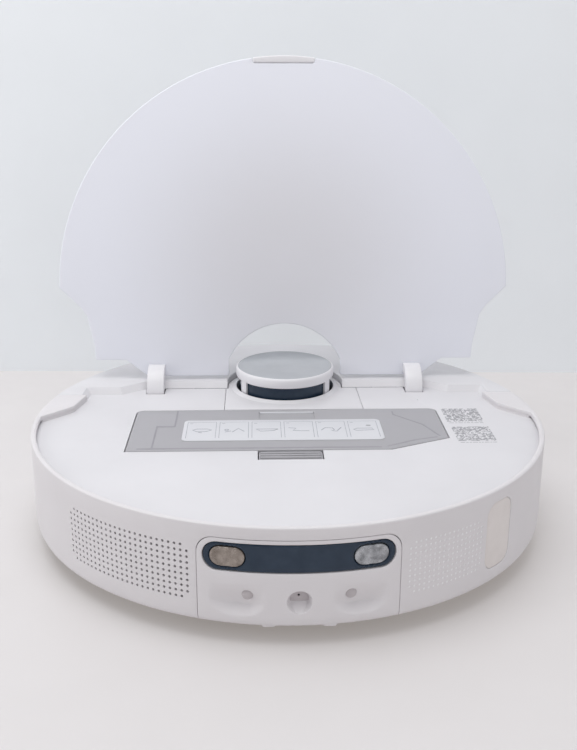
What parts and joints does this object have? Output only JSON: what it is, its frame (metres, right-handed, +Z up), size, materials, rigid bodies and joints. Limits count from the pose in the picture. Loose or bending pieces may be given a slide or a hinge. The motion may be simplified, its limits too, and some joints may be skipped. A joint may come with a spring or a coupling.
{
  "type": "robot vacuum and mop",
  "caption": "Disc-shaped robot vacuum and mop with its round lid open, lift-out dust box, sensor turret, side grilles and a rear docking panel.",
  "frame": {"origin": "centre of the round footprint, on the floor", "axes": "+Z up, +Y towards the driving front (bumper), -Y towards the rear docking face, +X to the right when seen from the rear"},
  "size_m": [0.35, 0.35, 0.3117],
  "materials": {
    "shell_white": "satin white ABS",
    "deck_white": "fine matt white ABS",
    "lid_white": "satin white ABS, slightly translucent",
    "soft_grey": "matt light grey",
    "smoke_clear": "smoky translucent polycarbonate",
    "label_white": "printed matt film",
    "window_dark": "dark glossy infrared window",
    "contact_metal": "satin charging contact",
    "pin_steel": "ground pin",
    "black_plastic": "textured black",
    "brush_rubber": "soft moulded rubber",
    "tyre_rubber": "ribbed tyre",
    "pad_fabric": "looped microfibre",
    "filter_paper": "pleated filter paper",
    "cell_wrap": "heat-shrink wrap",
    "circuit_board": "solder mask"
  },
  "bodies": {
    "chassis": {"rear_shell": "shell_white", "side_window": "soft_grey", "docking_panel": "shell_white", "dock_window": "window_dark", "charge_contact_left": "contact_metal", "charge_contact_right": "contact_metal", "dock_sensor_lens_left": "shell_white", "dock_sensor_lens_right": "shell_white", "water_inlet_valve": "shell_white", "base_plate": "black_plastic", "deck_plate": "deck_white", "front_cover": "deck_white", "hinge_pin_left": "pin_steel", "hinge_pin_right": "pin_steel", "turret_surround": "deck_white", "turret_base": "soft_grey", "arm_pivot_pin_left": "pin_steel", "arm_pivot_pin_right": "pin_steel", "brush_chamber": "black_plastic", "brush_guard": "soft_grey", "mop_gearbox_left": "black_plastic", "mop_gearbox_right": "black_plastic", "battery_pack": "cell_wrap", "main_board": "circuit_board", "water_tank": "smoke_clear", "suction_fan": "black_plastic", "speaker": "black_plastic"},
    "lid": {"lid_panel": "lid_white", "lid_pull_tab": "shell_white", "hinge_arm_left": "shell_white", "hinge_arm_right": "shell_white"},
    "bumper": {"front_bumper": "shell_white", "bumper_window": "window_dark"},
    "power_key": {"power_button": "shell_white"},
    "dock_key": {"dock_button": "shell_white"},
    "lidar_top": {"lidar_cap": "shell_white", "lidar_cap_disc": "soft_grey", "lidar_window": "window_dark"},
    "lidar_spinner": {"lidar_rotor": "black_plastic"},
    "dust_box": {"dust_tub": "smoke_clear", "filter_frame": "soft_grey", "filter_pleats": "filter_paper"},
    "dust_box_cover": {"dust_cover": "smoke_clear", "dust_cover_label": "label_white"},
    "dust_box_latch": {"dust_latch": "soft_grey"},
    "arm_left": {"wheel_arm_left": "black_plastic"},
    "arm_right": {"wheel_arm_right": "black_plastic"},
    "wheel_left": {"wheel_hub_left": "soft_grey", "wheel_tyre_left": "tyre_rubber"},
    "wheel_right": {"wheel_hub_right": "soft_grey", "wheel_tyre_right": "tyre_rubber"},
    "caster_swivel": {"caster_fork": "black_plastic"},
    "caster_roller": {"caster_wheel": "black_plastic"},
    "brush_roller": {"main_brush": "brush_rubber"},
    "edge_brush": {"side_brush": "brush_rubber"},
    "mop_left": {"mop_plate_left": "soft_grey", "mop_pad_left": "pad_fabric"},
    "mop_right": {"mop_plate_right": "soft_grey", "mop_pad_right": "pad_fabric"}
  },
  "joints": [
    {"name": "lid_hinge", "type": "hinge", "parent": "chassis", "child": "lid", "pos_m": [0, 0.076, 0.067], "axis": [-1, 0, 0], "range_deg": [-98, 0]},
    {"name": "bumper_press", "type": "slide", "parent": "chassis", "child": "bumper", "axis": [0, -1, 0], "range_m": [0, 0.0025], "stiffness_N_per_m": 900, "springref_m": -0.001},
    {"name": "power_key_press", "type": "slide", "parent": "chassis", "child": "power_key", "axis": [0, 0, -1], "range_m": [0, 0.001], "stiffness_N_per_m": 400, "springref_m": -0.0005},
    {"name": "dock_key_press", "type": "slide", "parent": "chassis", "child": "dock_key", "axis": [0, 0, -1], "range_m": [0, 0.001], "stiffness_N_per_m": 400, "springref_m": -0.0005},
    {"name": "lidar_top_press", "type": "slide", "parent": "chassis", "child": "lidar_top", "axis": [0, 0, -1], "range_m": [0, 0.0012], "stiffness_N_per_m": 1500, "springref_m": -0.001},
    {"name": "lidar_spin", "type": "hinge", "parent": "chassis", "child": "lidar_spinner", "pos_m": [0, 0.074, 0.07], "axis": [0, 0, 1], "continuous": true},
    {"name": "dust_box_lift", "type": "slide", "parent": "chassis", "child": "dust_box", "axis": [0, 0, 1], "range_m": [0, 0.06]},
    {"name": "dust_cover_hinge", "type": "hinge", "parent": "dust_box", "child": "dust_box_cover", "pos_m": [0, 0.018, 0.0669], "axis": [-1, 0, 0], "range_deg": [0, 80]},
    {"name": "dust_latch_slide", "type": "slide", "parent": "dust_box_cover", "child": "dust_box_latch", "axis": [0, 1, 0], "range_m": [0, 0.0015], "stiffness_N_per_m": 400, "springref_m": -0.0005},
    {"name": "arm_left_swing", "type": "hinge", "parent": "chassis", "child": "arm_left", "pos_m": [-0.113, 0.052, 0.034], "axis": [1, 0, 0], "range_deg": [0, 25], "stiffness_Nm_per_rad": 0.8, "springref_deg": 28.65},
    {"name": "arm_right_swing", "type": "hinge", "parent": "chassis", "child": "arm_right", "pos_m": [0.113, 0.052, 0.034], "axis": [1, 0, 0], "range_deg": [0, 25], "stiffness_Nm_per_rad": 0.8, "springref_deg": 28.65},
    {"name": "wheel_left_spin", "type": "hinge", "parent": "arm_left", "child": "wheel_left", "pos_m": [-0.128, 0, 0.031], "axis": [1, 0, 0], "continuous": true},
    {"name": "wheel_right_spin", "type": "hinge", "parent": "arm_right", "child": "wheel_right", "pos_m": [0.128, 0, 0.031], "axis": [1, 0, 0], "continuous": true},
    {"name": "caster_turn", "type": "hinge", "parent": "chassis", "child": "caster_swivel", "pos_m": [0, 0.138, 0.02], "axis": [0, 0, 1], "continuous": true},
    {"name": "caster_roll", "type": "hinge", "parent": "caster_swivel", "child": "caster_roller", "pos_m": [0, 0.133, 0.013], "axis": [1, 0, 0], "continuous": true},
    {"name": "brush_roller_spin", "type": "hinge", "parent": "chassis", "child": "brush_roller", "pos_m": [0, 0.045, 0.0205], "axis": [1, 0, 0], "continuous": true},
    {"name": "edge_brush_spin", "type": "hinge", "parent": "chassis", "child": "edge_brush", "pos_m": [0.112, 0.108, 0.005], "axis": [0, 0, 1], "continuous": true},
    {"name": "mop_left_spin", "type": "hinge", "parent": "chassis", "child": "mop_left", "pos_m": [-0.055, -0.086, 0.005], "axis": [0, 0, 1], "continuous": true},
    {"name": "mop_right_spin", "type": "hinge", "parent": "chassis", "child": "mop_right", "pos_m": [0.055, -0.086, 0.005], "axis": [0, 0, 1], "continuous": true}
  ],
  "couplings": [
    {"joint": "mop_right_spin", "follows": "mop_left_spin", "ratio": -1}
  ]
}
